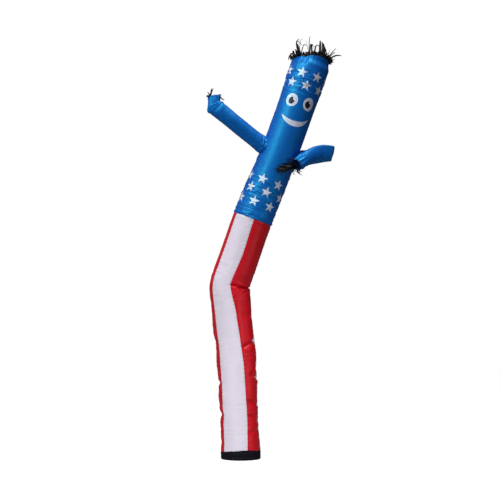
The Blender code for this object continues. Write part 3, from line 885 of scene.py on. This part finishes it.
def build_tube(blue):
    along, around = np.meshgrid(np.linspace(STRIPES_TOP + GAP, HEAD_TOP, TUBE_ROWS + 1),
                                np.linspace(0, TURN, TUBE_COLUMNS, endpoint=False) - math.pi,
                                indexing="ij")
    along = rim_height(along, around)
    points = raised_face(along, around, tube_detail(along, around))
    places = closed_places(around, PRINT_RADIUS, math.pi, along)
    piece = lay_cloth("chest_and_head_cloth", [(points, places)], blue)

    # Each face measures its corners from the star that is nearest to its own middle.
    flat = corners(places).reshape(-1, 4, 2)
    away = np.hypot(*np.moveaxis(flat.mean(axis=1)[:, None] - STARS, -1, 0))
    add_places(piece.data, "star", flat - STARS[away.argmin(axis=1)][:, None])

    # The armholes: the faces that lie within each sleeve are cut away.
    faces = np.array([face.vertices[:] for face in piece.data.polygons])
    middles = points.reshape(-1, 3)[faces].mean(axis=1)
    gone = np.zeros(len(middles), bool)
    for side, course in ((LEFT_SIDE, LEFT_ARM), (RIGHT_SIDE, RIGHT_ARM)):
        away = middles - body_face(np.array(ARMHOLE_UP), np.array(side))
        axis = arm_axis(course, np.array(0.0))
        aside = away - (away @ axis)[:, None] * axis
        near, within = (np.linalg.norm(from_it, axis=1) for from_it in (away, aside))
        gone |= (near < ARMHOLE_NEAR) & (within < ARMHOLE_RADIUS)
    cut_faces(piece.data, gone)
    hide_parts("chest_and_head")
    return piece, points


blue_print = build_blue_material("blue_nylon_printed", True)
head_cloth, head_points = build_tube(blue_print)

# --------------------------------------------------
# The arms: two sleeves of the same blue nylon, gathered into the armholes and open at the cuffs.
# The left one reaches up and out, and the right one is folded at the elbow, in front of itself.
# --------------------------------------------------

ARM_COLUMNS = 88
ARM_SPACING = 0.006
ROOT_BLEND = 0.16  # how far from the root its shape still follows the armhole
ROOT_GAP = 0.0011  # between the root and the body's cloth
ROOT_SEARCH = 0.2  # as far as a point of the root ring may slide


def outside_body(points):
    """How far outside the plain tube's cloth these points near the armholes are."""
    along = np.full(points.shape[:-1], ARMHOLE_UP)
    for _ in range(5):  # closes in on the nearest point of the body's course
        along = along + ((points - follow(BODY_COURSE, along)) * body_axis(along)).sum(axis=-1)
    away = np.linalg.norm(points - follow(BODY_COURSE, along), axis=-1)
    return away - read(BODY, "radius", along)


def arm_face(rows, side, along, turn, root_shift):
    """The sleeve's smooth face, and which way is out, on a grid of lengths and angles."""
    root = body_face(np.array(ARMHOLE_UP), np.array(side))
    centre = follow(run_course(root, partial(arm_axis, rows), rows["along"][-1]), along)
    axis = arm_axis(rows, along)
    tilt = np.radians(read(rows, "tilt", along))
    edge = stack(np.sin(tilt), 0.0, np.cos(tilt))
    width = unit(edge - axis * (edge * axis).sum(axis=-1, keepdims=True))
    depth = np.cross(axis, width)
    reach = read(rows, "half_width", along), read(rows, "half_depth", along)
    offset = (width * (np.cos(turn) * reach[0])[..., None]
              + depth * (np.sin(turn) * reach[1])[..., None])
    out = unit(width * (np.cos(turn) * reach[1])[..., None]
               + depth * (np.sin(turn) * reach[0])[..., None])
    start = arm_axis(rows, np.array(0.0))
    fade = 1 - smooth(along / ROOT_BLEND)
    return centre + offset + start * (root_shift * fade)[..., None], out


def find_root_shift(rows, side, turn):
    """How far each point of the root ring slides along the arm to lie on the body's cloth."""
    start = arm_axis(rows, np.array(0.0))
    ring, _ = arm_face(rows, side, np.zeros_like(turn), turn, np.zeros_like(turn))
    low, high = np.full(turn.shape, -ROOT_SEARCH), np.full(turn.shape, ROOT_SEARCH)
    for _ in range(40):  # halves the doubt each time
        middle = (low + high) / 2
        inside = outside_body(ring + start * middle[:, None]) < ROOT_GAP
        low, high = np.where(inside, middle, low), np.where(inside, high, middle)
    return high


def sleeve_folds(along, turn, seed, root, pleats, tangle, bend, cross, soft, fine):
    """Gathers at the root, long soft folds, and cross folds where the arm bends. root is how far
    the gathers reach; the others end with how deep that kind of fold is."""
    waves, wave_turn, more, more_turn, pleat_depth = pleats
    gathers = (np.sin(turn * waves + 2 * np.sin(turn * 3 + wave_turn)) * 0.6
               + np.sin(turn * more + more_turn) * 0.4)
    at_root, at_bend = hump(along, 0, root), hump(along, *bend)
    return (gathers * pleat_depth * at_root
            + creases(turn, along, 0.24, 0.03, seed) * tangle * at_root
            + creases(turn, along, 0.5, cross[0], seed + 1) * cross[1] * at_bend
            + lumps(turn, along, 0.25, soft[0], seed + 2) * soft[1]
            + creases(turn, along, 0.3, fine[0], seed + 3) * fine[1])


def left_arm_detail(along, turn, seed):
    """Its folds, and the corners that the bent wrist and the flared cuff push out."""
    folds = sleeve_folds(along, turn, seed, root=0.085, pleats=(11, 1, 19, 1.3, 0.0060),
                         tangle=0.011, bend=(0.70, 0.055), cross=(0.030, 0.009),
                         soft=(0.35, 0.0026), fine=(0.09, 0.0016))
    cuff = smooth((along - 0.77) / 0.06)
    under, over = swing(turn - math.pi), swing(turn)
    corner = (0.019 * hump(along, 0.716, 0.018) * hump(under, 0, 0.45)
              - 0.010 * hump(along, 0.770, 0.035) * hump(under, 0, 0.6)
              + 0.018 * hump(along, 0.830, 0.035) * hump(over, 0, 0.6))
    return folds + corner + np.sin(turn * 9 + 2 * np.sin(turn * 2)) * 0.0030 * cuff


def right_arm_detail(along, turn, seed):
    """Its folds, with a crumpled cuff."""
    folds = sleeve_folds(along, turn, seed, root=0.065, pleats=(10, 2, 17, 0.3, 0.0045),
                         tangle=0.009, bend=(0.45, 0.05), cross=(0.026, 0.0025),
                         soft=(0.3, 0.0020), fine=(0.08, 0.0024))
    crumpled = (creases(turn, along, 0.22, 0.035, seed + 4) * 0.015
                + np.sin(turn * 10 + 1) * 0.0035)
    return folds + crumpled * smooth((along - 0.86) / 0.12)


def build_arm(name, node, rows, side, detail, seed, blue, girth):
    reach = rows["along"][-1]
    along, turn = np.meshgrid(np.linspace(0, reach, round(reach / ARM_SPACING) + 1),
                              np.linspace(0, TURN, ARM_COLUMNS, endpoint=False), indexing="ij")
    points, out = arm_face(rows, side, along, turn, find_root_shift(rows, side, turn[0]))
    raised = detail(along, turn, seed) * smooth(along / 0.02 + 0.15)  # little at the seam
    points = points + out * raised[..., None]
    places = closed_places(turn, girth / TURN, TURN, along)
    piece = lay_cloth(name, [(points, places)], blue)
    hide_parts(node)
    return piece, points


LEFT_GIRTH, RIGHT_GIRTH = 0.53, 0.46
blue_plain = build_blue_material("blue_nylon", False)
left_sleeve, left_points = build_arm("left_sleeve", "left_arm", LEFT_ARM, LEFT_SIDE,
                                     left_arm_detail, 60, blue_plain, LEFT_GIRTH)
right_sleeve, right_points = build_arm("right_sleeve", "right_arm", RIGHT_ARM, RIGHT_SIDE,
                                       right_arm_detail, 70, blue_plain, RIGHT_GIRTH)

# --------------------------------------------------
# The fringe: black nylon cut into narrow strips on a tape that is sewn inside the head's rim and
# both cuffs. The air blows it up and out, and some of it hangs over the rim in tangled bunches.
# --------------------------------------------------

FRINGE_BLACK = (0.004, 0.004, 0.006, 1)
TAPE_BELOW = 0.016  # how far it reaches down from the rim
TAPE_GAP = 0.0035  # how far inside the rim it lies
RIM_STEP = 0.006  # what one column of the rim counts as, on the flat tape
STRIP_SEGMENTS = 9

# The short strips all round, by degrees along the rim: how long, and how far they lean outwards.
HEAD_LOCKS = table(
    "around length lean_root lean_tip",
    (0, 0.075, 4, 20),
    (60, 0.060, 10, 40),
    (85, 0.050, 30, 80),
    (102, 0.050, 50, 150),
    (130, 0.050, 40, 140),
    (142, 0.042, 10, 40),
    (170, 0.042, -4, 10),
    (210, 0.048, 0, 20),
    (250, 0.058, 20, 60),
    (280, 0.070, 30, 70),
    (320, 0.070, 10, 30),
    (360, 0.075, 4, 20),
)
LEFT_LOCKS = table("around length lean_root lean_tip", (0, 0.018, -10, 10), (360, 0.018, -10, 10))
RIGHT_LOCKS = table("around length lean_root lean_tip", (0, 0.055, 30, 120), (360, 0.055, 30, 120))

# The strips that stand out, in millimetres to the right of and above the rim's middle: where they
# start, pass and end, how far forward they swing, how many there are, and how wide and how spread.
STRIP_COLUMNS = ("root_right root_up bend_right bend_up tip_right tip_up front strips width spread")
HEAD_STRIPS = table(
    STRIP_COLUMNS,
    (-138, 108, -172, 179, -144, 241, 5, 3, 1.1, 4),
    (-127, 108, -168, 213, -112, 171, 5, 2, 0.9, 4),
    (-134, 108, -128, 198, -92, 256, 5, 1, 0.6, 2),
    (-123, 115, -93, 164, -66, 154, 5, 2, 0.7, 5),
    (-119, 108, -149, 153, -161, 183, 0, 2, 1.0, 5),
    (-37, 115, -56, 175, -62, 220, 0, 1, 0.6, 2),
    (-27, 108, -27, 183, -13, 263, 0, 2, 0.9, 2),
    (-30, 108, -11, 171, 11, 112, 10, 2, 0.8, 5),
    (0, 100, 0, 156, 21, 129, 10, 2, 0.8, 5),
    (38, 93, 49, 145, 94, 129, 5, 3, 1.0, 6),
    (103, 93, 101, 153, 99, 214, 0, 3, 1.9, 3),
    (122, 86, 124, 143, 118, 196, 0, 2, 1.5, 3),
    (142, 78, 141, 138, 135, 184, 0, 2, 1.5, 3),
    (160, 64, 156, 120, 141, 170, 0, 2, 1.2, 3),
    (180, 48, 171, 108, 148, 168, 0, 1, 0.8, 3),
    (191, 48, 201, 82, 215, 114, 0, 1, 0.7, 3),
    (198, 48, 243, 100, 289, 145, 0, 2, 0.7, 2),
    (209, 33, 239, 74, 278, 94, 0, 2, 0.9, 3),
    (213, 26, 277, 63, 353, 62, 0, 3, 0.9, 3),
    (213, 18, 251, 48, 278, 37, 0, 2, 0.8, 4),
    (217, 3, 243, 18, 269, 27, 0, 2, 0.7, 4),
    (-220, 48, -243, 67, -236, 10, 20, 3, 1.1, 6),
    (-205, 63, -228, 78, -222, 14, 30, 3, 1.1, 6),
    (-190, 71, -209, 108, -203, 24, 40, 2, 1.1, 6),
    (-168, 78, -183, 118, -179, 34, 45, 2, 1.0, 6),
    (-149, 78, -161, 118, -155, 62, 45, 2, 1.0, 6),
)
LEFT_STRIPS = table(
    STRIP_COLUMNS,
    (-39, 2, -18, 52, 20, 96, 0, 3, 1.5, 3),
    (-39, 2, -24, 35, -24, 78, 0, 2, 1.4, 2),
    (-40, 5, -50, 22, -68, 42, 0, 2, 1.2, 3),
    (-42, 2, -58, -2, -78, -12, 0, 3, 1.3, 4),
    (-44, -6, -38, 12, -26, 32, 0, 4, 1.8, 7),
    (84, -20, 104, -34, 128, -41, 5, 3, 1.2, 3),
    (74, 6, 80, 12, 85, 8, 8, 4, 1.5, 3),
    (-34, 5, -17, 51, 2, 74, 0, 2, 1.3, 3),
)
RIGHT_STRIPS = table(
    STRIP_COLUMNS,
    (-38, -21, -148, -30, -255, -62, 55, 9, 1.2, 17),
    (-38, -30, -153, -60, -236, -98, 55, 8, 1.2, 15),
    (-38, -38, -135, -73, -190, -108, 55, 5, 1.2, 14),
    (-42, -13, -97, 4, -140, 10, 50, 5, 1.1, 18),
    (-42, -13, -119, -12, -205, -30, 55, 7, 1.2, 18),
    (-46, -55, -72, -98, -80, -171, 0, 2, 0.8, 3),
    (-38, -55, -46, -81, -24, -107, 0, 2, 0.8, 4),
    (-12, -47, 13, -81, 54, -118, 0, 3, 1.0, 4),
    (-46, -4, -89, 21, -114, 53, 30, 2, 0.7, 5),
    (-29, 21, -46, 38, -53, 13, 20, 2, 0.7, 5),
    (-21, -4, -12, 30, -21, 30, 20, 2, 0.7, 5),
    (-12, -13, 13, 21, 17, 45, 20, 3, 0.7, 6),
)

fringe = new_cloth("black_fringe", FRINGE_BLACK, 0.5, 0.3, 0.003, 0.5)
FRINGE_LOOK = finish_cloth(fringe, fringe.colour, fringe.height, 0.0008)


def build_fringe(name, node, points, locks, drawn, strips, seed, wide, proud):
    """The tape inside a rim, standing that proud of it, and its strips: short ones all round, as
    locks says, and the drawn ones. Each is a flat ribbon past its bend to its tip."""
    draw = np.random.default_rng(seed)
    rim, below = points[-1], points[-4]
    middle = rim.mean(axis=0)
    around_it = rim - middle
    count = len(rim)
    up = unit(rim - below)
    across = unit(np.roll(rim, -1, axis=0) - np.roll(rim, 1, axis=0))
    out = np.cross(across, up)
    out = unit(out * np.sign((around_it * out).sum(axis=1))[:, None])
    high = rim + up * proud - out * TAPE_GAP
    tape = np.array([rim - up * TAPE_BELOW - out * TAPE_GAP, high])
    sheets = [(tape, stack(np.arange(count + 1) * RIM_STEP, [[0], [TAPE_BELOW + proud]]))]

    def add_strip(index, bend, tip, width, face):
        """bend and tip are from the root; the ribbon passes the bend half way along."""
        root = high[index] - up[index] * draw.uniform(0.003, 0.012)  # sewn on the tape
        turn = draw.uniform(-1.3, 1.3)
        half = wide * width * draw.uniform(0.75, 1.2) / 2
        pull = 2 * bend - tip / 2
        length = np.linalg.norm(bend) + np.linalg.norm(tip - bend)
        share = np.linspace(0, 1, STRIP_SEGMENTS + 1)[:, None]
        line = root + 2 * share * (1 - share) * pull + share ** 2 * tip
        way = unit((1 - 2 * share) * pull + share * tip + 1e-6)
        flat = unit(np.cross(way, face))
        flat = flat * np.cos(turn * share) + np.cross(way, flat) * np.sin(turn * share)
        aside = flat * half * (1 - 0.55 * share ** 3)
        sheets.append((np.stack([line - aside, line + aside], axis=1),
                       stack(index * RIM_STEP + np.array([0, half * 2]), share * length)))

    for strip in range(strips):
        if strip % 5 == 0:  # five strips that lean alike
            clump = draw.uniform(-1, 1, 3)
        index = int(round((strip + draw.uniform(-0.5, 0.5)) * count / strips)) % count
        around = 360 * index / count
        length, root_lean, tip_lean = (np.interp(around, locks["around"], locks[column])
                                       for column in ("length", "lean_root", "lean_tip"))
        length = length * draw.uniform(0.7, 1.25) * (1 + 0.2 * clump[0])
        side = math.radians(25 * clump[1] + draw.uniform(-25, 25))
        leans = (math.radians(root_lean + draw.uniform(-8, 8)),
                 math.radians(tip_lean + 15 * clump[2] + draw.uniform(-18, 18)))
        ways = [unit(up[index] * math.cos(lean) + out[index] * math.sin(lean)
                     + across[index] * math.tan(side) * share)
                for lean, share in zip(leans, (0.5, 1.2))]
        bend = ways[0] * length * 0.5
        add_strip(index, bend, bend + ways[1] * length * 0.5, 1.0, out[index])
    for row in drawn:
        aim = np.array([row["root_right"], row["root_up"]]) / 1000
        away = (around_it[:, [0, 2]] - aim) ** 2
        # The nearest point of the rim as seen from the front, and of two the one in front.
        nearest = int(np.argmin(away.sum(axis=1) + 0.004 * around_it[:, 1]))
        for _ in range(int(row["strips"])):
            index = (nearest + int(draw.integers(-1, 2))) % count
            stray = draw.normal(0, row["spread"] / 1000, (2, 3)) * ((0.6,), (1.0,))
            front = -row["front"] / 1000
            bend, tip = (middle + np.array([row[f"{end}_right"] / 1000, 0, row[f"{end}_up"] / 1000])
                         + stray[k] - high[index] for k, end in enumerate(("bend", "tip")))
            bend[1], tip[1] = front + stray[0, 1], front + stray[1, 1]
            add_strip(index, bend, tip, row["width"], np.array([draw.uniform(-0.5, 0.5), -1, 0.2]))
    piece = lay_cloth(name, sheets, FRINGE_LOOK)
    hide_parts(node)
    return piece


head_fringe = build_fringe("head_fringe_strips", "head_fringe", head_points, HEAD_LOCKS,
                           HEAD_STRIPS, 430, 3, 0.013, 0.014)
left_fringe = build_fringe("left_hand_strips", "left_hand_fringe", left_points, LEFT_LOCKS,
                           LEFT_STRIPS, 26, 5, 0.010, -0.003)
right_fringe = build_fringe("right_hand_strips", "right_hand_fringe", right_points, RIGHT_LOCKS,
                            RIGHT_STRIPS, 40, 8, 0.010, -0.002)

bpy.context.view_layer.update()
